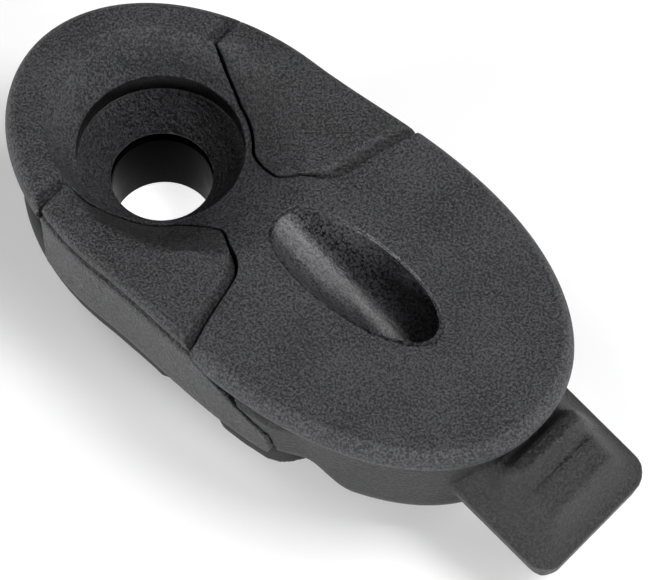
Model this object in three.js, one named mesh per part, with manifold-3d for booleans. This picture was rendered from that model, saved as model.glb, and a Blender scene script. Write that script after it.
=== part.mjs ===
// Cleat horn: an oval deck fitting held by one countersunk screw, with a slanted line
// channel in its pad, two sprung side cheeks and a tongue (the horn) at one end.
// Millimetres, +X towards the tongue, +Z up. The screw axis is X = 0, Y = 0 while the
// pieces are built with the top face at Z = 0; the finished group is lifted so that the end
// of the screw boss is at Z = 0.
import * as THREE from 'three';
import { ConvexGeometry } from 'three/addons/geometries/ConvexGeometry.js';
import { mergeVertices } from 'three/addons/utils/BufferGeometryUtils.js';
import Module from 'manifold-3d';

const wasm = await Module();
wasm.setup();

// ---- driving sizes (mm) ----
const screwHole = 6.6;            // clearance hole for an M6 screw
const flangeLeft = -10.5;         // round end of the flange, from the screw axis
const flangeRight = 31.8;         // pad end of the flange
const ringHalfWidth = 10.5;       // half width beside the screw
const padHalfWidth = 11.0;        // half width across the pad
const totalDepth = 12.5;          // top face to the end of the screw boss
const channelSlope = 23.5;        // degrees, line channel
const channelRadius = 2.65;
const tongueSlope = 18;           // degrees, tongue

// ---- sizes worked out from them ----
const boreRadius = screwHole / 2;
const seatRadius = 5.38;           // top of the cone for the screw head
const clearance = 0.3;
const plateThickness = 2.4;
const rimRound = 1.0;
const bowlEdge = -2.68;            // foot of the bowl, below the top face
const seatWall = 1.52;             // straight wall between the bowl and the cone
const seatPitch = 0.93;            // depth of the cone for each mm of radius
const seatTop = bowlEdge - seatWall;
const seatBottom = seatTop - (seatRadius - boreRadius) * seatPitch;
const bowlWall = 0.5;
const bowlOuter = seatRadius + bowlWall;
const bowlFloor = seatBottom - 0.25;
const sleeveTop = bowlFloor - clearance;
const sleeveWall = 0.8;
const sleeveOuter = boreRadius + sleeveWall;
const bossRadius = bowlOuter + clearance + 1.0;
const hullTop = -plateThickness - clearance;
const hullBottom = -6.8;
const hullInset = 1.0;
const cheekFloor = -4.9;
const ledgeTop = cheekFloor - clearance;
const cheekInset = 0.4;
const cheekWall = 1.5;
const cheekBottom = -7.0;
const cheekSwing = 0.5;           // free gap the cheek closes when pressed in
const cheekEndX = 12.3;
const tailEndX = 18.6;
const gasketTop = cheekBottom - clearance;
const gasketThickness = 1.7;
const neckEnd = 9.6;
const neckHalfWidth = 2.2;
const neckFloor = -4.6;
const gasketEnd = 20;
const exitStart = flangeRight - 10; // open mouth under the pad and the hood
const exitEnd = flangeRight + 2;
const exitHalfWidth = 3.1;
const exitRoof = -4.3;
const rootX = -1.5;               // where the ring ends and the cheeks begin
const pinX = rootX - 1.1;
const pinInset = 3.5;              // pin axis from the side of the flange
const pinY = ringHalfWidth - pinInset;
const pinRadius = 0.65;
const pinHole = pinRadius + 0.25;
const far = 14;                   // past every edge of the flange
const slope = (degrees) => (degrees * Math.PI) / 180;

// ---- outline of the flange ----
const ringCentre = 4.0;
const padCentre = 14.0;

function halfWidth(x, inset) {
  const ringLength = ringCentre - flangeLeft - inset;
  const padLength = flangeRight - padCentre - inset;
  if (x <= ringCentre) {
    const t = Math.min(1, (ringCentre - x) / ringLength);
    return (ringHalfWidth - inset) * Math.sqrt(1 - t * t);
  }
  if (x >= padCentre) {
    const t = Math.min(1, (x - padCentre) / padLength);
    return (padHalfWidth - inset) * Math.pow(1 - Math.pow(t, 2.2), 1 / 2.2);
  }
  const t = (x - ringCentre) / (padCentre - ringCentre);
  const ease = t * t * (3 - 2 * t);
  return ringHalfWidth + (padHalfWidth - ringHalfWidth) * ease - inset;
}

function flangeOutline(inset) {
  const upper = [];
  const steps = 22;
  for (let i = 0; i <= steps; i += 1) {
    const angle = (Math.PI / 2) * (i / steps);
    upper.push(ringCentre - (ringCentre - flangeLeft - inset) * Math.cos(angle));
  }
  for (let i = 1; i < 5; i += 1) {
    upper.push(ringCentre + ((padCentre - ringCentre) * i) / 5);
  }
  for (let i = 0; i <= steps; i += 1) {
    const angle = (Math.PI / 2) * (i / steps);
    upper.push(padCentre + (flangeRight - padCentre - inset) * Math.sin(angle));
  }
  const points = upper.map((x) => new THREE.Vector2(x, halfWidth(x, inset)));
  const lower = points.slice(1, -1).reverse().map((p) => new THREE.Vector2(p.x, -p.y));
  return points.concat(lower).reverse();
}

// ---- small helpers ----
function solid(geometry) {
  const bare = geometry.index ? geometry.toNonIndexed() : geometry.clone();
  bare.deleteAttribute('normal');
  bare.deleteAttribute('uv');
  const merged = mergeVertices(bare, 1e-4);
  return new wasm.Manifold(new wasm.Mesh({
    numProp: 3,
    vertProperties: new Float32Array(merged.attributes.position.array),
    triVerts: new Uint32Array(merged.index.array),
  }));
}

function box(x0, x1, y0, y1, z0, z1) {
  const geometry = new THREE.BoxGeometry(x1 - x0, y1 - y0, z1 - z0);
  geometry.translate((x0 + x1) / 2, (y0 + y1) / 2, (z0 + z1) / 2);
  return solid(geometry);
}

function rod(x, y, radius, z0, z1, sides) {
  const geometry = new THREE.CylinderGeometry(radius, radius, z1 - z0, sides);
  geometry.rotateX(Math.PI / 2);
  geometry.translate(x, y, (z0 + z1) / 2);
  return solid(geometry);
}

function prism(points, z0, z1) {
  const shape = new THREE.Shape(points);
  const geometry = new THREE.ExtrudeGeometry(shape, { depth: z1 - z0, bevelEnabled: false });
  geometry.translate(0, 0, z0);
  return solid(geometry);
}

function turned(profile, sides) {
  const points = profile.map(([r, z]) => new THREE.Vector2(r, z));
  const geometry = new THREE.LatheGeometry(points, sides);
  geometry.rotateX(Math.PI / 2);
  return solid(geometry);
}

// A bar of triangular section that takes the corner off an edge running from a to b.
// inner is the horizontal direction pointing into the piece.
function edgeCut(a, b, inner, width, drop) {
  const raise = 0.5;
  const grow = raise * (width / drop);
  const corner = (p, along, z) => new THREE.Vector3(
    p[0] + inner[0] * along, p[1] + inner[1] * along, z);
  const points = [a, b].flatMap((p) => [
    corner(p, -2, -drop), corner(p, 0, -drop),
    corner(p, width + grow, raise), corner(p, -2, raise),
  ]);
  return solid(new ConvexGeometry(points));
}

// ---- shared cutters ----
// Plate with a full round edge, top face at Z = 0.
function roundedPlate() {
  const shape = new THREE.Shape(flangeOutline(rimRound));
  const geometry = new THREE.ExtrudeGeometry(shape, {
    depth: plateThickness - 2 * rimRound,
    bevelThickness: rimRound,
    bevelSize: rimRound,
    bevelSegments: 4,
  });
  geometry.translate(0, 0, rimRound - plateThickness);
  return solid(geometry);
}

// The shallow bowl around the screw: a ring of points at each depth, pulled out into an
// egg that reaches furthest along the neck.
function bowlCutter() {
  const levels = 8;
  const geometry = new THREE.CylinderGeometry(1, 1, 1, 96, levels);
  geometry.rotateX(Math.PI / 2);
  const position = geometry.attributes.position;
  for (let i = 0; i < position.count; i += 1) {
    const x = position.getX(i);
    const y = position.getY(i);
    const t = position.getZ(i) + 0.5;
    const angle = Math.atan2(y, x);
    const c = Math.cos(angle);
    const rim = ringHalfWidth * (0.675 + 0.09 * c + 0.15 * c * c);
    const foot = seatRadius + 0.12;
    const reach = foot + (rim - foot) * Math.pow(t, 0.8) * 1.06;
    const r = Math.hypot(x, y) * reach;
    position.setXYZ(i, r * c, r * Math.sin(angle), bowlEdge * (1 - t * 1.06));
  }
  return solid(geometry);
}

function seatCutter() {
  return turned([
    [0, bowlEdge + 0.1], [seatRadius, bowlEdge + 0.1], [seatRadius, seatTop],
    [boreRadius, seatBottom], [boreRadius, -totalDepth - 1], [0, -totalDepth - 1],
  ].reverse(), 48);
}

// The straight slanted line channel: its floor starts at the bowl and dives under the pad.
const channelStart = 9.75;
function channelCutter(radius) {
  const length = 34;
  const geometry = new THREE.CylinderGeometry(radius, radius, length, 40);
  geometry.rotateZ(Math.PI / 2);
  geometry.rotateY(slope(channelSlope));
  const middleX = channelStart + channelRadius / Math.sin(slope(channelSlope));
  geometry.translate(middleX, 0, 0);
  return solid(geometry);
}

// Plan view of one cheek opening on the +Y side, grown by gap on its inner edges.
function cheekPlan(gap) {
  const inner = bowlOuter + clearance + 0.05 - gap;
  const shape = new THREE.Shape();
  shape.moveTo(rootX - gap, far);
  shape.lineTo(rootX + 0.15 - gap, 7.2);
  shape.quadraticCurveTo(rootX + 0.5, 6.5 - gap, inner * 0.19, inner * 0.982);
  shape.absarc(0, 0, inner, slope(79), slope(31), true);
  shape.bezierCurveTo(6.3 - gap, 2.6 - gap, 7.4, 2.5 - gap, 8.2, 3.5 - gap);
  shape.bezierCurveTo(9.0 + gap, 4.4 - gap, 11.6 + gap, 3.9 - gap, 11.75 + gap, 6.2);
  shape.lineTo(cheekEndX + gap, far);
  return shape.getPoints(8);
}

function mirrored(points) {
  return points.map((p) => new THREE.Vector2(p.x, -p.y)).reverse();
}

function cheekSide(side, gap, z0, z1) {
  const plan = cheekPlan(gap);
  return prism(side > 0 ? plan : mirrored(plan), z0, z1);
}

// Space taken by the free tail of a cheek: it starts at full height at the end of the
// panel and its top edge falls away towards the tip.
function tailSpace(side, gap) {
  const y0 = side > 0 ? padHalfWidth - 3.4 : -far;
  const y1 = side > 0 ? far : -(padHalfWidth - 3.4);
  const low = cheekBottom - 0.01 - gap;
  const wedge = [
    [rootX - gap, low], [tailEndX - 0.8 + gap, low], [tailEndX + gap, low + 0.9],
    [tailEndX + gap, -4.6 + gap], [cheekEndX + gap, -1.3 + gap], [rootX - gap, -1.3 + gap],
  ];
  const shape = new THREE.Shape(wedge.map(([x, z]) => new THREE.Vector2(x, z)));
  const geometry = new THREE.ExtrudeGeometry(shape, { depth: y1 - y0, bevelEnabled: false });
  geometry.rotateX(Math.PI / 2);
  geometry.translate(0, y1, 0);
  return solid(geometry);
}

// Knuckle at the root of a cheek, flush with the skirt of the hull, that the pin runs through.
function rootTab(side, gap) {
  const y0 = side > 0 ? pinY - 1.3 - gap : -far;
  const y1 = side > 0 ? far : -(pinY - 1.3 - gap);
  return box(pinX - 1.4 - gap, rootX + 0.6, y0, y1, cheekFloor - gap, hullTop + gap)
    .intersect(prism(flangeOutline(hullInset - gap), -far, far))
    .subtract(rod(0, 0, bowlOuter + 2 * clearance - gap, -far, far, 48));
}

// Room cut in the cover and the hull for the wall and tail of a cheek.
function wallRoom(side) {
  const inner = cheekInset + cheekWall + clearance + cheekSwing;
  return prism(flangeOutline(-0.2), -far, 1)
    .subtract(prism(flangeOutline(inner), -far, 2))
    .intersect(tailSpace(side, clearance));
}

// Rib under the neck, between the two cheeks, that ties the ring to the pad.
function neckRib(gap) {
  return box(0, neckEnd + gap, -neckHalfWidth - gap, neckHalfWidth + gap,
    neckFloor - gap, -plateThickness / 2);
}

const bowl = bowlCutter();
const seat = seatCutter();
const channel = channelCutter(channelRadius);

// ---- top cover: ring, bowl, neck and pad in one moulding ----
function makeTopCover() {
  let part = roundedPlate();
  for (const side of [1, -1]) {
    part = part.subtract(cheekSide(side, clearance, -plateThickness - 1, 1));
    part = part.subtract(wallRoom(side));
    part = part.subtract(edgeCut([rootX - clearance, side * 6.9], [rootX - clearance, side * 10],
      [-1, 0], 0.9, 0.55));
  }
  part = part.add(rod(0, 0, bowlOuter, bowlFloor, -plateThickness / 2, 64));
  part = part.add(neckRib(0));
  return part.subtract(bowl).subtract(seat).subtract(channel);
}

// ---- cheek: panel, outer wall, free tail and pinned root tab ----
function makeCheek(side) {
  const skin = roundedPlate().add(
    prism(flangeOutline(cheekInset), cheekFloor, -plateThickness / 2));
  let part = skin.intersect(cheekSide(side, -cheekSwing + clearance, cheekFloor, 1));
  const band = prism(flangeOutline(cheekInset), cheekBottom, -1.2)
    .subtract(prism(flangeOutline(cheekInset + cheekWall), -far, 1));
  part = part.add(band.intersect(tailSpace(side, 0)));
  part = part.add(rootTab(side, 0));
  part = part.subtract(rod(pinX, side * pinY, pinHole, -far, 1, 24));
  part = part.subtract(edgeCut([11.75, side * 5.6], [cheekEndX + 0.05, side * (padHalfWidth + 1)],
    [-1, side * 0.08], 0.9, 0.5));
  return part.subtract(bowl);
}

// ---- hull: skirt, screw boss, line channel and the tongue ----
const tongueHalfWidth = 5.17;
const tongueThickness = 1.7;
const tongueCorner = 1.6;
const tongueReach = 5.2;           // how far the tongue stands out past the pad
const tongueRoot = flangeRight - 7.8;
const tongueTop = -3.2;            // height of its upper face at the root
function makeTongue() {
  const length = (flangeRight + tongueReach - tongueRoot) / Math.cos(slope(tongueSlope));
  const shape = new THREE.Shape();
  shape.moveTo(0, -tongueHalfWidth);
  shape.lineTo(length - tongueCorner, -tongueHalfWidth);
  shape.quadraticCurveTo(length, -tongueHalfWidth, length, -tongueHalfWidth + tongueCorner);
  shape.lineTo(length, tongueHalfWidth - tongueCorner);
  shape.quadraticCurveTo(length, tongueHalfWidth, length - tongueCorner, tongueHalfWidth);
  shape.lineTo(0, tongueHalfWidth);
  const geometry = new THREE.ExtrudeGeometry(shape, {
    depth: tongueThickness, bevelEnabled: false, curveSegments: 6,
  });
  geometry.translate(0, 0, -tongueThickness);
  geometry.rotateY(slope(tongueSlope));
  geometry.translate(tongueRoot, 0, tongueTop);
  return solid(geometry);
}

// The hood on the tongue is the roof over the line where it leaves the hull. Each
// corner is given by its distance past the pad, its half width and its height.
function makeHood() {
  const corners = [
    [-2.0, 3.6, hullTop - 0.15], [0.8, 3.0, hullTop + 0.1], [1.6, 2.9, -3.5],
    [3.8, 2.4, -5.0], [4.6, 3.2, -7.2], [1.2, 4.7, -6.3], [-1.2, 4.4, -6.4],
    [4.4, 3.2, -8.2], [-1.2, 4.4, -7.0],
  ];
  const points = corners.flatMap(([past, y, z]) => [
    new THREE.Vector3(flangeRight + past, y, z),
    new THREE.Vector3(flangeRight + past, -y, z),
  ]);
  return solid(new ConvexGeometry(points));
}

function makeHull() {
  let part = prism(flangeOutline(hullInset), hullBottom, hullTop);
  part = part.add(rod(0, 0, bossRadius, -totalDepth, hullBottom + 0.5, 48));
  part = part.add(makeTongue().subtract(box(20, 40, -far, far, hullTop - 0.4, 5)));
  part = part.add(makeHood());
  for (const side of [1, -1]) {
    part = part.subtract(cheekSide(side, clearance, ledgeTop, 1));
    part = part.subtract(wallRoom(side));
    part = part.subtract(rootTab(side, clearance));
    part = part.subtract(rod(pinX, side * pinY, pinHole, hullBottom, 1, 24));
  }
  part = part.subtract(rod(0, 0, bowlOuter + clearance, sleeveTop, 1, 48));
  part = part.subtract(rod(0, 0, sleeveOuter + clearance, -totalDepth - 1, 1, 48));
  part = part.subtract(neckRib(clearance));
  part = part.subtract(channel.intersect(box(0, exitEnd, -far, far, -far, 1)));
  return part.subtract(box(exitStart, exitEnd, -exitHalfWidth, exitHalfWidth, -far, exitRoof));
}

// ---- screw sleeve: the smooth tube the screw passes through ----
function makeSleeve() {
  return turned([
    [boreRadius, -totalDepth], [sleeveOuter, -totalDepth], [sleeveOuter, sleeveTop - clearance],
    [boreRadius, sleeveTop - clearance], [boreRadius, -totalDepth],
  ], 48);
}

// ---- base gasket: rubber collar under the hull, thicker foot under the tail ends ----
function makeGasket() {
  const bottom = gasketTop - gasketThickness;
  const width = padHalfWidth - 1.2;
  const corner = 3.5;
  const shape = new THREE.Shape();
  shape.moveTo(-far, -width);
  shape.lineTo(gasketEnd - corner, -width);
  shape.absarc(gasketEnd - corner, -width + corner, corner, -Math.PI / 2, 0, false);
  shape.lineTo(gasketEnd, width - corner);
  shape.absarc(gasketEnd - corner, width - corner, corner, 0, Math.PI / 2, false);
  shape.lineTo(-far, width);
  return prism(flangeOutline(1.3), bottom, gasketTop)
    .intersect(prism(shape.getPoints(6), -far, far))
    .subtract(rod(0, 0, bossRadius + clearance, -far, 1, 48));
}

// ---- root pin of a cheek ----
function makePin(side) {
  return rod(pinX, side * pinY, pinRadius, hullBottom + clearance, hullTop, 24);
}

// ---- named pieces and their looks ----
const looks = {
  grained: { color: 0x2c2d30, roughness: 0.72, metalness: 0 },
  satin: { color: 0x303134, roughness: 0.5, metalness: 0 },
  gloss: { color: 0x1c1c1e, roughness: 0.25, metalness: 0 },
  rubber: { color: 0x141415, roughness: 0.85, metalness: 0 },
  steel: { color: 0x9a9ca0, roughness: 0.35, metalness: 1 },
};

const group = new THREE.Group();
group.name = 'cleat_horn';

function addPiece(name, part, look) {
  const result = part.getMesh();
  const geometry = new THREE.BufferGeometry();
  geometry.setAttribute('position', new THREE.BufferAttribute(result.vertProperties, 3));
  geometry.setIndex(new THREE.BufferAttribute(result.triVerts, 1));
  geometry.computeVertexNormals();
  geometry.translate(0, 0, totalDepth);
  const mesh = new THREE.Mesh(geometry, new THREE.MeshStandardMaterial(looks[look]));
  mesh.name = name;
  group.add(mesh);
}

addPiece('top_cover', makeTopCover(), 'grained');
addPiece('hull', makeHull(), 'satin');
addPiece('cheek_left', makeCheek(1), 'satin');
addPiece('cheek_right', makeCheek(-1), 'satin');
addPiece('cheek_pin_left', makePin(1), 'steel');
addPiece('cheek_pin_right', makePin(-1), 'steel');
addPiece('screw_sleeve', makeSleeve(), 'gloss');
addPiece('base_gasket', makeGasket(), 'rubber');

export default group;
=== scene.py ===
import math

import bpy
import bmesh
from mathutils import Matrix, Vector


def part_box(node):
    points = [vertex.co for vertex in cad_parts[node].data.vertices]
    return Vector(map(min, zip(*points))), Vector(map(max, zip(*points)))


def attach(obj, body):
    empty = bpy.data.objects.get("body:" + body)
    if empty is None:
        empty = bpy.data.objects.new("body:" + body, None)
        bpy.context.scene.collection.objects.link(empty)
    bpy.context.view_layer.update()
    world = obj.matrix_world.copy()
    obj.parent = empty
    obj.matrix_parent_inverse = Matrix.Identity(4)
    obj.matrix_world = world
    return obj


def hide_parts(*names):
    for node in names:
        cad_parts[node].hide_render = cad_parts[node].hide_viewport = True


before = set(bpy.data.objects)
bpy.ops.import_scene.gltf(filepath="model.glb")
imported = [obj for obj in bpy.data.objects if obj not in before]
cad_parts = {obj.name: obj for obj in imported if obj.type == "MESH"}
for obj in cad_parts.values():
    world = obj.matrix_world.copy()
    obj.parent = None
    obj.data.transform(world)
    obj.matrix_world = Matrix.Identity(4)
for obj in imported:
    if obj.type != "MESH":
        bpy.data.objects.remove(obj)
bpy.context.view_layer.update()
bpy.ops.object.select_all(action="DESELECT")


# ---------------------------------------------------------------------------
# Top cover. One glass-filled nylon moulding: the ring round the screw, the bowl
# and countersunk seat, the neck, and the pad with the mouth of the line channel.
# It is welded to the hull along its underside and clamped by the screw.
# ---------------------------------------------------------------------------
MM = 0.001
cover_low, cover_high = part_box("top_cover")
hull_low, hull_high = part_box("hull")
top = cover_high[2]
flange_left = cover_low[0]
flange_right = cover_high[0]
pad_half_width = cover_high[1]
ring_half_width = 0.9545 * pad_half_width
ring_centre = 4.0 * MM
pad_centre = 14.0 * MM
bore_radius = 3.3 * MM
seat_radius = 5.38 * MM
seat_top = top - 4.2 * MM
seat_bottom = seat_top - 1.93 * MM
bowl_edge = top - 2.68 * MM
bowl_wall = 0.42 * MM
channel_radius = 2.65 * MM
channel_slope = math.radians(23.5)
channel_start = 9.75 * MM
channel_middle = channel_start + channel_radius / math.sin(channel_slope)
root_x = -1.5 * MM
cheek_end_x = 12.3 * MM
beyond = 20 * MM
beside = 14 * MM


def half_width(x, inset):
    """Half the width of the flange at x, measured inset inside its edge."""
    pad_power = 2.2
    ring_length = ring_centre - flange_left - inset
    pad_length = flange_right - pad_centre - inset
    if x <= ring_centre:
        t = min(1.0, (ring_centre - x) / ring_length)
        return (ring_half_width - inset) * math.sqrt(1 - t * t)
    if x >= pad_centre:
        t = min(1.0, (x - pad_centre) / pad_length)
        return (pad_half_width - inset) * (1 - t ** pad_power) ** (1 / pad_power)
    t = (x - ring_centre) / (pad_centre - ring_centre)
    ease = t * t * (3 - 2 * t)
    return ring_half_width + (pad_half_width - ring_half_width) * ease - inset


def flange_ring(inset, z):
    """The outline of the flange as a loop of points, counter-clockwise from above."""
    steps = 56
    neck_steps = 16
    quarter = math.pi / 2
    xs = []
    for i in range(steps + 1):
        xs.append(ring_centre - (ring_centre - flange_left - inset) * math.cos(quarter * i / steps))
    for i in range(1, neck_steps):
        xs.append(ring_centre + (pad_centre - ring_centre) * i / neck_steps)
    for i in range(steps + 1):
        xs.append(pad_centre + (flange_right - pad_centre - inset) * math.sin(quarter * i / steps))
    upper = [(x, half_width(x, inset), z) for x in xs]
    lower = [(x, -y, z) for x, y, z in upper[1:-1]]
    return lower + upper[::-1]


def circle_ring(x, y, radius, z, count=96):
    """A level circle as a loop of points."""
    turn = 2 * math.pi / count
    return [(x + radius * math.cos(turn * i), y + radius * math.sin(turn * i), z)
            for i in range(count)]


def loft(name, rings):
    """A closed solid through rings of equal length, capped at both ends."""
    count = len(rings[0])
    points = [p for ring in rings for p in ring]
    faces = []
    for level in range(len(rings) - 1):
        for i in range(count):
            j = (i + 1) % count
            a = level * count
            faces.append((a + i, a + j, a + count + j, a + count + i))
    faces.append(tuple(range(count)))
    faces.append(tuple(range(len(points) - count, len(points))))
    mesh = bpy.data.meshes.new(name)
    mesh.from_pydata(points, [], faces)
    bm = bmesh.new()
    bm.from_mesh(mesh)
    bmesh.ops.recalc_face_normals(bm, faces=bm.faces)
    bm.to_mesh(mesh)
    bm.free()
    piece = bpy.data.objects.new(name, mesh)
    bpy.context.collection.objects.link(piece)
    return piece


def apply_modifier(piece, kind, **settings):
    """Adds one modifier, sets it up and makes its result the mesh."""
    modifier = piece.modifiers.new("step", kind)
    for key, value in settings.items():
        setattr(modifier, key, value)
    bpy.context.view_layer.objects.active = piece
    bpy.ops.object.modifier_apply(modifier=modifier.name)


def combine(piece, other, operation):
    """Boolean of two solids. The second one is used up."""
    apply_modifier(piece, "BOOLEAN", operation=operation, object=other, solver="MANIFOLD")
    bpy.data.objects.remove(other, do_unlink=True)


def soften(piece, voxel, rounds, keep=1.0):
    """Even mesh with small moulded radii on every edge, as polished tool steel gives."""
    piece.data.materials.clear()
    apply_modifier(piece, "REMESH", mode="VOXEL", voxel_size=voxel)
    apply_modifier(piece, "SMOOTH", factor=0.5, iterations=rounds)
    if keep < 1.0:
        apply_modifier(piece, "DECIMATE", ratio=keep)
    piece.data.shade_smooth()


def ramp(value, low, high):
    """Smooth step from 0 at low to 1 at high."""
    t = min(1.0, max(0.0, (value - low) / (high - low)))
    return t * t * (3 - 2 * t)


def melt(piece, region, rounds):
    """Rounds one region far more than the rest; region is a test on a point."""
    group = piece.vertex_groups.new(name="melt")
    chosen = [v.index for v in piece.data.vertices if region(*v.co)]
    group.add(chosen, 1.0, "REPLACE")
    apply_modifier(piece, "SMOOTH", factor=0.5, iterations=rounds, vertex_group="melt")
    piece.vertex_groups.clear()


def bowl_cutter():
    """The dish round the seat: crisp at the ring, softer at the cheeks, flared at the neck."""
    foot = seat_radius + 0.12 * MM
    levels = 16
    above_top = 1.4
    steps = 200
    heights = [1 - (1 - level / levels) ** 2 for level in range(levels + 1)]
    rings = []
    for t in heights + [above_top]:
        ring = []
        for i in range(steps):
            angle = 2 * math.pi * i / steps
            c = math.cos(angle)
            # The dish reaches furthest towards the neck and least towards the ring's back.
            rim = ring_half_width * (0.69 + 0.08 * c + 0.145 * c * c)
            rounded = ramp(c, -0.3, 0.15)
            neck = ramp(c, 0.8, 0.97)
            rim += (0.55 * rounded + 0.9 * neck) * MM
            # Slope of the dish wall: straight at the ring, rounded over elsewhere.
            level = min(1.0, t)
            crisp = level ** 0.8
            flared = 1 - (1 - level) ** 0.66
            soft = 0.88 * level ** 0.85 + 0.12 * (1 - (1 - level) ** 0.4)
            soft += (flared - soft) * neck
            reach = foot + (rim - foot) * (crisp + (soft - crisp) * rounded)
            ring.append((reach * c, reach * math.sin(angle), bowl_edge + (top - bowl_edge) * t))
        rings.append(ring)
    return loft("bowl_cutter", rings)


def seat_cutter():
    """The bore, the cone of the seat and the straight wall of the counterbore."""
    below = hull_low[2] - 1 * MM
    undercut = 0.04 * MM
    return loft("seat_cutter", [
        circle_ring(0, 0, bore_radius, below),
        circle_ring(0, 0, bore_radius, seat_bottom),
        circle_ring(0, 0, seat_radius + undercut, seat_top),
        circle_ring(0, 0, seat_radius, bowl_edge),
        circle_ring(0, 0, seat_radius, bowl_edge + 0.2 * MM),
    ])


def channel_bar(x_start, x_end, wall=0.0):
    """Round bar lying along the line channel; wall makes it thicker all round."""
    steps = 96
    rings = []
    for x in (x_start, x_end):
        z = top - (x - channel_middle) * math.tan(channel_slope)
        ring = []
        for i in range(steps):
            angle = 2 * math.pi * i / steps
            y = (channel_radius + wall) * math.cos(angle)
            rise = (channel_radius + wall) * math.sin(angle) / math.cos(channel_slope)
            ring.append((x, y, z + rise))
        rings.append(ring)
    return loft("channel_bar", rings)


def curve_points(a, b, c, d, count):
    """Points along a cubic curve, without its first end."""
    points = []
    for i in range(1, count + 1):
        t = i / count
        r = 1 - t
        weights = (r ** 3, 3 * r * r * t, 3 * r * t * t, t ** 3)
        points.append(tuple(sum(w * p[k] for w, p in zip(weights, (a, b, c, d)))
                            for k in (0, 1)))
    return points


def cheek_plan(inset):
    """Loop round one cheek on the +Y side, in millimetres, drawn in by inset."""
    # Each edge is named for what it faces: the ring's end, the bowl or the pad.
    loop = [((-1.64, 14), "ring"), ((-1.64, 9), "ring"), ((-1.64, 7.0), "ring")]
    for curve in (((-1.64, 7.0), (-0.6, 6.62), (1.1, 6.1), (2.3, 5.25), 12, "bowl"),
                  ((2.3, 5.25), (3.6, 4.4), (4.6, 3.15), (7.1, 2.66), 14, "bowl"),
                  ((7.1, 2.66), (7.8, 2.52), (8.1, 2.75), (8.9, 3.35), 8, "bowl"),
                  ((8.9, 3.35), (9.5, 3.75), (10.6, 3.8), (11.05, 5.3), 14, "pad"),
                  ((11.05, 5.3), (11.4, 6.6), (11.6, 8.2), (12.3, 10.2), 8, "pad")):
        loop += [(point, curve[5]) for point in curve_points(*curve[:5])]
    loop.append(((12.5, 14), "pad"))
    count = len(loop)
    drawn_in = []
    for i, ((x, y), edge) in enumerate(loop):
        outward = outward_of(loop, i, count)
        drawn_in.append(((x - outward.x * inset, y - outward.y * inset), edge))
    return drawn_in


def outward_of(loop, i, count):
    """Direction out of a counter-clockwise outline at its point i."""
    ahead = Vector(loop[min(i + 1, count - 1)][0])
    behind = Vector(loop[max(i - 1, 0)][0])
    along = (ahead - behind).normalized()
    return Vector((along.y, -along.x))


def cheek_block(name, side, inset, low, sloped_edge, width, drop):
    """Prism over the cheek plan. The named edge leans out at the ring and in at the pad."""
    loop = cheek_plan(inset)
    over = 0.4
    slope_from, slope_full = 8.9, 11.0
    lean = 1 if sloped_edge == "ring" else -1
    rings = [[], [], []]
    for i, ((x, y), edge) in enumerate(loop):
        reach = lean * width * (1 + over / drop) if edge == sloped_edge else 0.0
        if edge == "pad":
            reach *= ramp(x, slope_from, slope_full)
        outward = outward_of(loop, i, len(loop)) * reach
        rings[0].append((x * MM, side * y * MM, low))
        rings[1].append((x * MM, side * y * MM, top - drop * MM))
        rings[2].append(((x + outward.x) * MM, side * (y + outward.y) * MM, top + over * MM))
    return loft(name, rings)


def rim_solid(name, profile):
    """The flange as a solid; profile lists inset and depth below the top, in millimetres."""
    return loft(name, [flange_ring(inset * MM, top - depth * MM) for inset, depth in profile])


cover_rim = [(1.3, 2.4), (0.55, 2.15), (0.15, 1.7), (0.0, 1.15), (0.1, 0.65),
             (0.35, 0.25), (0.7, 0.0)]
cover = rim_solid("cover_moulding", cover_rim)
tail_tip_x = 18.6 * MM
tail_depth = 7.1 * MM
bowl_outer = seat_radius + bowl_wall
side_gap = 0.24 * MM


def tail_space(side, gap):
    """The room of a cheek's wall and free tail; its top edge falls towards the tip."""
    low = top - tail_depth - gap
    tail_end = tail_tip_x + gap
    outline = [(root_x - gap, low), (tail_end - 1.0 * MM, low),
               (tail_end - 0.2 * MM, low + 0.5 * MM), (tail_end, low + 1.2 * MM),
               (tail_end - 0.3 * MM, top - 4.5 * MM + gap),
               (cheek_end_x + gap, top - 1.0 * MM + gap), (root_x - gap, top - 1.0 * MM + gap)]
    inner = side * 6.6 * MM
    outer = side * beside
    return loft("tail_space", [[(x, inner, z) for x, z in outline],
                               [(x, outer, z) for x, z in outline]])


def flange_core(inset):
    """Everything more than inset inside the flange's edge, over the full height."""
    return loft("flange_core", [flange_ring(inset, top - beyond),
                                flange_ring(inset, top + 2 * MM)])


def upright(name, radius, low, high):
    """A round bar on the screw's axis."""
    return loft(name, [circle_ring(0, 0, radius, low), circle_ring(0, 0, radius, high)])


# A collar joins the plate to the wall that hangs round the bowl and the seat.
combine(cover, loft("collar", [circle_ring(0, 0, bowl_outer, bowl_edge - 0.4 * MM),
                               circle_ring(0, 0, bowl_outer + 0.9 * MM, bowl_edge + 0.4 * MM)]),
        "UNION")
# The cheeks' rooms: the panel's, with the ring's end chamfered, and the tail's.
for side in (1, -1):
    combine(cover, cheek_block("cheek_room", side, -0.06, top - 5 * MM, "ring", 1.0, 0.6),
            "DIFFERENCE")
    tail_room = tail_space(side, side_gap)
    combine(tail_room, flange_core(2.6 * MM), "DIFFERENCE")
    combine(cover, tail_room, "DIFFERENCE")
combine(cover, upright("bowl_wall", bowl_outer, seat_bottom - 0.25 * MM, bowl_edge + 0.4 * MM),
        "UNION")
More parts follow.
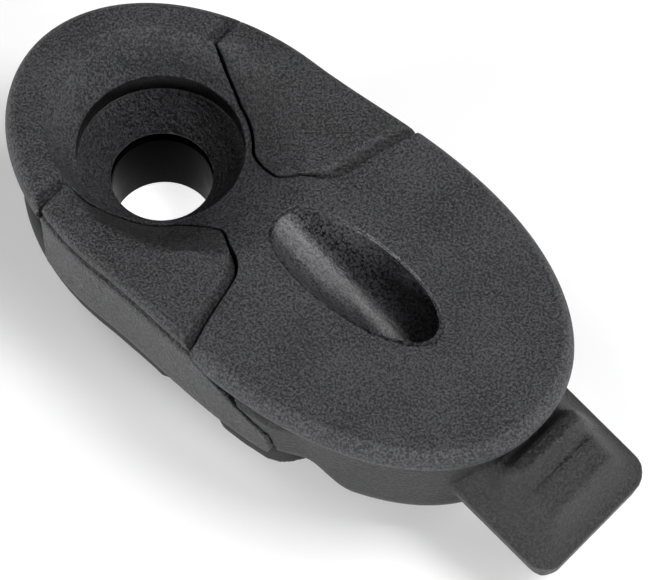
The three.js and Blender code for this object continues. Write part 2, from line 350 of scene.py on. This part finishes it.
# A rib under the neck carries the bowl's wall to the pad.
neck = [(0, -2.2), (9.6, -2.2), (9.6, 2.2), (0, 2.2)]
combine(cover, loft("neck_rib", [[(x * MM, y * MM, top - depth * MM) for x, y in neck]
                                 for depth in (4.6, 1.2)]), "UNION")
combine(cover, bowl_cutter(), "DIFFERENCE")
combine(cover, seat_cutter(), "DIFFERENCE")
# The trough is the floor of the line channel under the pad.
trough_end = 27 * MM
trough = channel_bar(10 * MM, trough_end, 0.45 * MM)
combine(trough, loft("below_top", [flange_ring(1 * MM, top - beyond),
                                   flange_ring(1 * MM, top - 1 * MM)]), "INTERSECT")
combine(cover, trough, "UNION")
combine(cover, channel_bar(-4 * MM, 40 * MM), "DIFFERENCE")
soften(cover, 0.1 * MM, 2, 0.35)


class Sock:
    """A shader socket that can be used in ordinary Python arithmetic."""

    def __init__(self, tree, socket):
        self.tree = tree
        self.socket = socket

    def maths(self, operation, *values, swap=False):
        node = self.tree.nodes.new("ShaderNodeMath")
        node.operation = operation
        inputs = [self, *values]
        if swap:
            inputs.reverse()
        for slot, value in zip(node.inputs, inputs):
            put(self.tree, slot, value)
        return Sock(self.tree, node.outputs[0])

    def __add__(self, other):
        return self.maths("ADD", other)

    def __radd__(self, other):
        return self.maths("ADD", other)

    def __sub__(self, other):
        return self.maths("SUBTRACT", other)

    def __rsub__(self, other):
        return self.maths("SUBTRACT", other, swap=True)

    def __mul__(self, other):
        return self.maths("MULTIPLY", other)

    def __rmul__(self, other):
        return self.maths("MULTIPLY", other)

    def smooth(self, low, high, to_low=0.0, to_high=1.0):
        """Smooth step between two values of this socket; low may be above high."""
        out = make(self.tree, "ShaderNodeMapRange", {"interpolation_type": "SMOOTHSTEP"},
                   {"Value": self, "From Min": low, "From Max": high,
                    "To Min": to_low, "To Max": to_high})
        return Sock(self.tree, out.outputs["Result"])


def put(tree, slot, value):
    """Links a socket to the slot, or sets the slot to a constant."""
    if isinstance(value, Sock):
        tree.links.new(value.socket, slot)
    else:
        slot.default_value = value


def make(tree, kind, settings, values):
    """Adds a node, sets its properties and sets or links its named inputs."""
    node = tree.nodes.new(kind)
    for key, value in settings.items():
        setattr(node, key, value)
    for key, value in values.items():
        put(tree, node.inputs[key], value)
    return node


def new_material(name):
    """A new material with its node tree, its shader and the place on the object."""
    material = bpy.data.materials.new(name)
    material.use_nodes = True
    tree = material.node_tree
    place = tree.nodes.new("ShaderNodeTexCoord")
    return material, tree, tree.nodes["Principled BSDF"], Sock(tree, place.outputs["Object"])


def noise(tree, place, size, detail=2.0, roughness=0.5):
    """Noise whose features are about size metres across, centred on 0.5."""
    node = make(tree, "ShaderNodeTexNoise", {}, {"Vector": place, "Scale": 1 / size,
                                                "Detail": detail, "Roughness": roughness})
    return Sock(tree, node.outputs["Fac"])


def blend_colours(tree, amount, first, second):
    """The first colour where amount is 0 and the second where it is 1."""
    node = make(tree, "ShaderNodeMix", {"data_type": "RGBA"}, {"Factor": amount})
    put(tree, node.inputs[6], first)
    put(tree, node.inputs[7], second)
    return Sock(tree, node.outputs[2])


def set_finish(tree, shader, colour, roughness, height, depth):
    """Connects colour, roughness and a relief of the given depth to the shader."""
    bump = make(tree, "ShaderNodeBump", {}, {"Height": height, "Distance": depth,
                                             "Strength": 1.0})
    put(tree, shader.inputs["Base Color"], colour)
    put(tree, shader.inputs["Roughness"], roughness)
    tree.links.new(bump.outputs["Normal"], shader.inputs["Normal"])


class Nylon:
    """Black glass-filled nylon: spark-eroded grain, faint mottling, uneven sheen."""

    def __init__(self, name, dark, light, roughness, depth, specular=0.45):
        self.material, self.tree, self.shader, self.place = new_material(name)
        grain_size = 0.16 * MM
        grain = noise(self.tree, self.place, grain_size, 3.0, 0.65)
        coarse = noise(self.tree, self.place, 2.6 * grain_size, 2.0, 0.5)
        mottle = noise(self.tree, self.place, 4 * MM, 3.0, 0.55)
        speckle = (grain * 2.4 + mottle * 0.4 - 0.9).smooth(0.2, 0.85)
        self.colour = blend_colours(self.tree, speckle, dark, light)
        sheen = mottle.smooth(0.3, 0.7, roughness - 0.05, roughness + 0.05)
        self.roughness = sheen - grain.smooth(0.6, 0.72) * 0.08
        self.height = grain * 1.5 + coarse * 0.6
        self.depth = depth
        self.shader.inputs["IOR"].default_value = 1.5
        self.shader.inputs["Specular IOR Level"].default_value = specular

    def coarsen(self, mask):
        """A coarser spark finish where the mask is 1."""
        coarse = noise(self.tree, self.place, 0.3 * MM, 2.0, 0.6)
        self.height = self.height + coarse * mask * 2.0
        self.roughness = self.roughness - mask * 0.12

    def polish(self, mask):
        """The glossier surface that a polished core leaves."""
        self.height = self.height * (1 - mask * 0.85)
        self.roughness = self.roughness - mask * 0.26

    def smooth_with_painted_shade(self, mask):
        """A smooth wall, as a turned core pin leaves, with its colour painted near black as painted
        shade.
        """
        # Painted shade: the colour goes near black where the mask is 1.
        self.colour = blend_colours(self.tree, mask, self.colour, (0.0006, 0.0006, 0.0006, 1))
        self.height = self.height * (1 - mask * 0.9)
        self.roughness = self.roughness - mask * 0.3

    def connect(self):
        set_finish(self.tree, self.shader, self.colour, self.roughness, self.height, self.depth)
        return self.material


cover_nylon = Nylon("grained_nylon", (0.0015, 0.0015, 0.0017, 1), (0.066, 0.066, 0.072, 1),
                    0.56, 0.13 * MM)
tree = cover_nylon.tree
split = make(tree, "ShaderNodeSeparateXYZ", {}, {"Vector": cover_nylon.place})
x, y, z = (Sock(tree, split.outputs[k]) for k in (0, 1, 2))
sine = math.sin(channel_slope)
off_axis = (x - channel_middle) * sine + (z - top) * math.cos(channel_slope)
from_axis = (off_axis * off_axis + y * y).maths("SQRT")
channel_mask = from_axis.smooth(channel_radius + 0.25 * MM, channel_radius + 0.1 * MM)
channel_mask = channel_mask * x.smooth(8.5 * MM, 10 * MM)
from_bore = (x * x + y * y).maths("SQRT")
cone_mask = z.smooth(seat_top + 0.1 * MM, seat_top - 0.1 * MM)
cone_mask = cone_mask * from_bore.smooth(seat_radius + 0.2 * MM, seat_radius)
# The counterbore's straight wall, whose colour is painted near black as painted shade.
painted_shade_wall_mask = z.smooth(bowl_edge + 0.02 * MM, bowl_edge - 0.1 * MM)
painted_shade_wall_mask = painted_shade_wall_mask * z.smooth(seat_top - 0.05 * MM, seat_top + 0.1 * MM)
painted_shade_wall_mask = painted_shade_wall_mask * from_bore.smooth(seat_radius + 0.2 * MM, seat_radius + 0.12 * MM)
cover_nylon.coarsen(cone_mask)
cover_nylon.polish(channel_mask)
cover_nylon.smooth_with_painted_shade(painted_shade_wall_mask)
cover.data.materials.append(cover_nylon.connect())
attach(cover, "fitting")
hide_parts("top_cover")


# ---------------------------------------------------------------------------
# Hull. The lower moulding: a drafted skirt under the cover, the screw boss, the
# line channel with its open mouth underneath, and the tongue with its hood.
# Same nylon as the cover, from a smoother, satin tool, with darker colours painted on as painted
# shade for the skirt and tongue.
# ---------------------------------------------------------------------------
skirt = ((1.9, 6.8), (1.4, 6.6), (1.15, 5.9), (0.85, 2.9), (1.2, 2.5))
tail_bulge = 0.6 * MM
end_drop = 1.9 * MM
hull_rings = []
for inset, depth in skirt:
    ring = []
    for x, y, z in flange_ring(inset * MM, top - depth * MM):
        beside_tail = ramp(x, 11 * MM, 12.5 * MM) * (1 - ramp(x, 18.2 * MM, 21 * MM))
        y += math.copysign(tail_bulge * beside_tail, y)
        deeper = end_drop * ramp(x, 20.5 * MM, 23.5 * MM) * ramp(depth, 5.0, 6.0)
        ring.append((x, y, z - deeper))
    hull_rings.append(ring)
hull = loft("hull_moulding", hull_rings)
boss_radius = seat_radius + 1.8 * MM
sleeve_room = 4.35 * MM
combine(hull, loft("boss", [circle_ring(0, 0, boss_radius - 0.3 * MM, hull_low[2]),
                            circle_ring(0, 0, boss_radius, hull_low[2] + 0.4 * MM),
                            circle_ring(0, 0, boss_radius, top - 6.3 * MM)]), "UNION")

tongue_start = 25 * MM
tongue_root = 25.2 * MM
tongue_depth = 3.6 * MM
tongue_end = hull_high[0]
tongue_half = 5.17 * MM
tongue_slope = math.tan(math.radians(18))
tongue_corner = 1.6 * MM
tongue_thickness = 1.65 * MM
tongue_roll = 0.22 * MM
roll_width = 0.9 * MM


def tongue_width(x):
    """Half the width of the tongue at x, rounded at its two corners."""
    reach = max(0.0, x - (tongue_end - tongue_corner)) / tongue_corner
    return tongue_half - tongue_corner + tongue_corner * math.sqrt(max(0.0, 1 - reach * reach))


def hood_height(x, y):
    """How far the hood stands above the flat of the tongue, in millimetres."""
    root = 2.25
    ridge = 1.3 * ramp(x, 31.0, 32.2) - 0.95 * ramp(x, 32.7, 33.4)
    groove = 0.12 * math.exp(-((x - 33.5) / 0.12) ** 2)
    plateau_fall = 0.35 * ramp(x, 33.6, 35.2)
    end_slope = 2.3 * ramp(x, 35.2, 36.6)
    along = root + ridge - groove - plateau_fall - end_slope
    across = 1 - ramp(abs(y), 2.5, 5.0)
    return max(0.0, along) * across


def tongue_solid():
    """The tongue and its hood, lofted from root to tip, with rolled-over edges."""
    across = 90
    rings = []
    steps = 130
    length = tongue_end - 0.02 * MM - tongue_start
    for i in range(steps + 1):
        x = tongue_start + length * math.sin(math.pi / 2 * i / steps)
        flat = top - tongue_depth - (x - tongue_root) * tongue_slope
        width = tongue_width(x)
        tip = ramp(x, tongue_end - 1.0 * MM, tongue_end)
        upper = []
        lower = []
        for j in range(across + 1):
            t = 2 * j / across - 1
            y = width * t
            edge = max(0.0, abs(y) - (tongue_half - roll_width)) / roll_width
            roll = tongue_roll * max(edge ** 2, tip ** 2)
            hood = flat + hood_height(x / MM, y / MM) * MM
            upper.append((x, y, max(flat, min(hood, top - 2.5 * MM)) - roll))
            lower.append((x - 0.35 * MM * tip, y * 0.94, flat - tongue_thickness))
        rings.append(upper + lower[::-1])
    return loft("tongue", rings)


combine(hull, tongue_solid(), "UNION")
# Ledges that the panels rest over, and room for the tails beside the skirt.
for side in (1, -1):
    combine(hull, cheek_block("ledge_room", side, -0.1, top - 5.2 * MM, "none", 0.0, 0.5),
            "DIFFERENCE")
    tail_room = tail_space(side, 0.2 * MM)
    combine(tail_room, flange_core(2.7 * MM), "DIFFERENCE")
    combine(hull, tail_room, "DIFFERENCE")


def box_solid(name, low, high):
    """A box in millimetres; its heights are measured from the top face."""
    corners = [(low[0], low[1]), (high[0], low[1]), (high[0], high[1]), (low[0], high[1])]
    return loft(name, [[(x * MM, y * MM, top + z * MM) for x, y in corners]
                       for z in (low[2], high[2])])


# Rooms for the knuckles, the bowl's wall, the neck's rib and the sleeve, then the
# trough, the channel itself and its way out underneath.
for side in (1, -1):
    near, far = sorted((side * 5.4, side * 14))
    combine(hull, box_solid("knuckle_room", (-4.3, near, -5.2), (-0.8, far, -2.2)), "DIFFERENCE")
combine(hull, upright("bowl_room", bowl_outer + 0.25 * MM, top - 6.7 * MM, top), "DIFFERENCE")
combine(hull, box_solid("neck_room", (0, -2.5, -4.9), (9.9, 2.5, 0)), "DIFFERENCE")
combine(hull, upright("sleeve_room", sleeve_room, hull_low[2] - 1 * MM, top), "DIFFERENCE")
combine(hull, channel_bar(8 * MM, trough_end + 0.2 * MM, 0.65 * MM), "DIFFERENCE")
combine(hull, channel_bar(-4 * MM, 29.5 * MM), "DIFFERENCE")
combine(hull, box_solid("line_exit", (21.8, -3.1, -20), (33.8, 3.1, -4.4)), "DIFFERENCE")
soften(hull, 0.13 * MM, 3, 0.35)
# Painted shade: darker colours than the cover's nylon, standing in for the shade on the skirt and
# tongue.
hull_nylon_with_painted_shade = Nylon("satin_nylon", (0.001, 0.001, 0.001, 1), (0.026, 0.026, 0.028, 1),
                   0.48, 0.11 * MM, 0.42)
hull.data.materials.append(hull_nylon_with_painted_shade.connect())
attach(hull, "fitting")
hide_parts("hull")


# ---------------------------------------------------------------------------
# Cheeks. Two nylon arms let into the sides: a flush panel dished to meet the
# bowl, a deep outer wall and a free tail that runs back under the pad. Each is
# pinned at its root beside the ring and springs inwards when squeezed.
# ---------------------------------------------------------------------------
cheek_rim = [(0.8, 7.0), (0.45, 6.8), (0.35, 6.2), (0.15, 1.4), (0.22, 1.14), (0.52, 1.02),
             (0.52, 0.82), (0.3, 0.68), (0.27, 0.45), (0.4, 0.16), (0.72, 0.0)]
cheek_nylon = Nylon("satin_nylon_cheek", (0.0015, 0.0015, 0.0017, 1),
                    (0.058, 0.058, 0.062, 1), 0.5, 0.12 * MM)
cheek_finish = cheek_nylon.connect()
swing_gap = 0.14
bowl_gap = bowl_outer + 0.2 * MM
pin_x = -2.6 * MM
pin_y = 7.0 * MM
pin_hole = 0.9 * MM


def on_dish_slope(x, y, z):
    """Picks the cheek's slope into the bowl, away from its root and its tip."""
    upper = z > top - 1.7 * MM
    near_bowl = math.hypot(x, y) < 9.3 * MM
    return upper and near_bowl and -1.1 * MM < x < 7.8 * MM and abs(y) > 3.2 * MM


for side, node, arm in ((1, "cheek_left", "left_arm"), (-1, "cheek_right", "right_arm")):
    cheek = rim_solid(node + "_moulding", cheek_rim)
    combine(cheek, cheek_block("cheek_shape", side, swing_gap, top - 4.9 * MM, "pad",
                               0.85, 0.55), "INTERSECT")
    wall = rim_solid("cheek_wall", cheek_rim[:5])
    combine(wall, flange_core(1.9 * MM), "DIFFERENCE")
    combine(wall, tail_space(side, 0.0), "INTERSECT")
    combine(cheek, wall, "UNION")
    near, far = sorted((side * 5.7, side * 14))
    knuckle = box_solid("knuckle", (-4.0, near, -4.9), (-0.9, far, -2.7))
    combine(knuckle, flange_core(1.0 * MM), "INTERSECT")
    combine(cheek, knuckle, "UNION")
    combine(cheek, upright("bowl_room", bowl_gap, top - beyond, top), "DIFFERENCE")
    ends = (top - beyond, top - 2.5 * MM)
    combine(cheek, loft("pin_room", [circle_ring(pin_x, side * pin_y, pin_hole, z, 32)
                                     for z in ends]), "DIFFERENCE")
    combine(cheek, bowl_cutter(), "DIFFERENCE")
    soften(cheek, 0.08 * MM, 2, 0.6)
    melt(cheek, on_dish_slope, 220)
    cheek.data.materials.append(cheek_finish)
    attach(cheek, arm)
    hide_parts(node)


# ---------------------------------------------------------------------------
# Screw sleeve. A smooth black tube pressed into the boss; the screw passes
# through it. It shows as the glossy wall of the hole below the seat.
# ---------------------------------------------------------------------------
sleeve_low, sleeve_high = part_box("screw_sleeve")
sleeve_outer = 4.1 * MM
sleeve_rings = []
for radius, z in ((sleeve_outer, sleeve_low[2]), (sleeve_outer, sleeve_high[2]),
                  (bore_radius + 0.1 * MM, sleeve_high[2]),
                  (bore_radius, sleeve_high[2] - 0.1 * MM),
                  (bore_radius, sleeve_low[2] + 0.15 * MM),
                  (bore_radius + 0.15 * MM, sleeve_low[2])):
    sleeve_rings.append(circle_ring(0, 0, radius, z, 128))
sleeve = loft("sleeve_tube", sleeve_rings + [sleeve_rings[0]])
bm = bmesh.new()
bm.from_mesh(sleeve.data)
bmesh.ops.delete(bm, geom=[f for f in bm.faces if len(f.verts) > 4], context="FACES_ONLY")
bmesh.ops.remove_doubles(bm, verts=bm.verts, dist=0.001 * MM)
bmesh.ops.recalc_face_normals(bm, faces=bm.faces)
bm.to_mesh(sleeve.data)
bm.free()
sleeve.data.shade_smooth()
apply_modifier(sleeve, "BEVEL", width=0.04 * MM, segments=2, angle_limit=math.radians(35))
material, tree, shader, place = new_material("smooth_sleeve")
drawn = noise(tree, place, 1.2 * MM, 2.0, 0.5)
fine = noise(tree, place, 0.12 * MM, 2.0, 0.5)
set_finish(tree, shader, blend_colours(tree, drawn, (0.0002, 0.0002, 0.0002, 1),
                                       (0.0006, 0.0006, 0.0006, 1)),
           drawn.smooth(0.3, 0.7, 0.2, 0.32), fine, 0.004 * MM)
shader.inputs["Specular IOR Level"].default_value = 0.01
sleeve.data.materials.append(material)
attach(sleeve, "fitting")
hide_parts("screw_sleeve")


# ---------------------------------------------------------------------------
# Base gasket. A soft black rubber collar round the boss, under the hull; it is
# squeezed against the panel and its rounded end shows below the cheek tails.
# ---------------------------------------------------------------------------
gasket_low, gasket_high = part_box("base_gasket")
rounded_edge = ((1.3, 0.0), (0.95, 0.3), (0.85, 0.85), (0.95, 1.4), (1.3, 1.7))
waist_share = 0.06
gasket_rings = []
for inset, lift in rounded_edge:
    ring = []
    for x, y, z in flange_ring(inset * MM, gasket_low[2] + lift * MM):
        waist = ramp(x, 9.3 * MM, 9.9 * MM) * (1 - ramp(x, 13.2 * MM, 14.4 * MM))
        ring.append((x, y * (1 - waist_share * waist), z))
    gasket_rings.append(ring)
gasket = loft("gasket_collar", gasket_rings)
end_radius = 3.5 * MM
gasket_width = gasket_high[1] + 0.45 * MM
end_x = gasket_high[0]
plan = [(-beside, -gasket_width - 0.5 * MM)]
corner_steps = 12
for i in range(corner_steps + 1):
    angle = -math.pi / 2 + math.pi / 2 * i / corner_steps
    plan.append((end_x - end_radius + end_radius * math.cos(angle),
                 -gasket_width + end_radius + end_radius * math.sin(angle)))
plan += [(x, -y) for x, y in plan[::-1]]
combine(gasket, loft("gasket_plan", [[(x, y, top - beyond) for x, y in plan],
                                     [(x, y, top) for x, y in plan]]), "INTERSECT")
combine(gasket, upright("boss_room", boss_radius + 0.2 * MM, top - beyond, top), "DIFFERENCE")
soften(gasket, 0.2 * MM, 3)
material, tree, shader, place = new_material("black_rubber")
cloudy = noise(tree, place, 2.5 * MM, 4.0, 0.6)
pores = noise(tree, place, 0.25 * MM, 3.0, 0.6)
set_finish(tree, shader, blend_colours(tree, cloudy.smooth(0.3, 0.75), (0.008, 0.008, 0.009, 1),
                                       (0.017, 0.017, 0.018, 1)),
           cloudy.smooth(0.3, 0.7, 0.75, 0.9), pores, 0.03 * MM)
gasket.data.materials.append(material)
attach(gasket, "fitting")
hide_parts("base_gasket")


# ---------------------------------------------------------------------------
# Root pins. Ground steel pins inside the hull that the cheeks turn on; the CAD
# solids are the right shape and only get a steel finish.
# ---------------------------------------------------------------------------
material, tree, shader, place = new_material("ground_steel")
stretched = make(tree, "ShaderNodeMapping", {}, {"Vector": place, "Scale": (1, 1, 0.08)})
lines = noise(tree, Sock(tree, stretched.outputs["Vector"]), 0.05 * MM, 3.0, 0.6)
set_finish(tree, shader, blend_colours(tree, lines, (0.42, 0.43, 0.45, 1), (0.6, 0.61, 0.63, 1)),
           lines.smooth(0.3, 0.7, 0.28, 0.42), lines, 0.002 * MM)
shader.inputs["Metallic"].default_value = 1.0
for node in ("cheek_pin_left", "cheek_pin_right"):
    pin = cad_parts[node]
    pin.data.materials.clear()
    pin.data.materials.append(material)


# ---------------------------------------------------------------------------
# Studio: a pale floor that glows faintly and evenly, with a painted pool of light under the bore,
# large soft lights and a long lens looking down at the fitting from its tongue end.
# ---------------------------------------------------------------------------
bpy.ops.mesh.primitive_plane_add(size=3, location=(0, 0, 0))
floor = bpy.context.object
floor.name = "floor"
material, tree, shader, place = new_material("pale_floor")
shader.inputs["Base Color"].default_value = (0.9, 0.9, 0.9, 1)
shader.inputs["Roughness"].default_value = 0.9
shader.inputs["Emission Strength"].default_value = 1.0
# Painted light: the floor glows faintly all over and brightly in a pool round the screw's axis,
# under the bore.
away = make(tree, "ShaderNodeVectorMath", {"operation": "LENGTH"}, {0: place})
even_glow_and_painted_pool = Sock(tree, away.outputs["Value"]).smooth(5.5 * MM, 4.5 * MM, 0.12, 0.8)
put(tree, shader.inputs["Emission Color"], blend_colours(tree, even_glow_and_painted_pool, (0, 0, 0, 1), (1, 1, 1, 1)))
floor.data.materials.append(material)

world = bpy.data.worlds.new("studio")
world.use_nodes = True
world.node_tree.nodes["Background"].inputs["Color"].default_value = (1, 1, 1, 1)
world.node_tree.nodes["Background"].inputs["Strength"].default_value = 0.01
bpy.context.scene.world = world
bpy.context.scene.view_settings.view_transform = "Standard"


def soft_light(name, azimuth, elevation, distance, size, power):
    """Square soft box aimed at the fitting. Azimuth 0 is on the -Y side, 90 on the +X side."""
    a = math.radians(azimuth)
    e = math.radians(elevation)
    away = Vector((math.sin(a) * math.cos(e), -math.cos(a) * math.cos(e), math.sin(e)))
    data = bpy.data.lights.new(name, "AREA")
    data.shape = "SQUARE"
    data.size = size
    data.energy = power
    light = bpy.data.objects.new(name, data)
    bpy.context.collection.objects.link(light)
    light.location = aim + away * distance
    light.rotation_euler = away.to_track_quat("Z", "Y").to_euler()


aim = Vector((13.79, 0.25, 7.26)) * MM
camera_distance = 0.4
soft_light("low_left", -30, 12, 0.4, 0.14, 1.75)
soft_light("high_left", -60, 62, 0.4, 0.14, 0.25)
soft_light("high_right", 120, 62, 0.4, 0.14, 0.8)
soft_light("back", 150, 35, 0.4, 0.14, 0.5)
soft_light("low_right", 92, 13, 0.4, 0.12, 1.5)

azimuth = math.radians(41.74)
elevation = math.radians(59.75)
back = Vector((math.sin(azimuth) * math.cos(elevation),
               -math.cos(azimuth) * math.cos(elevation), math.sin(elevation)))
camera_data = bpy.data.cameras.new("camera")
camera_data.lens = 349.8
camera_data.sensor_width = 36
camera_data.clip_start = 0.01
camera = bpy.data.objects.new("camera", camera_data)
bpy.context.collection.objects.link(camera)
camera.location = aim + back * camera_distance
camera.rotation_euler = back.to_track_quat("Z", "Y").to_euler()
bpy.context.scene.camera = camera
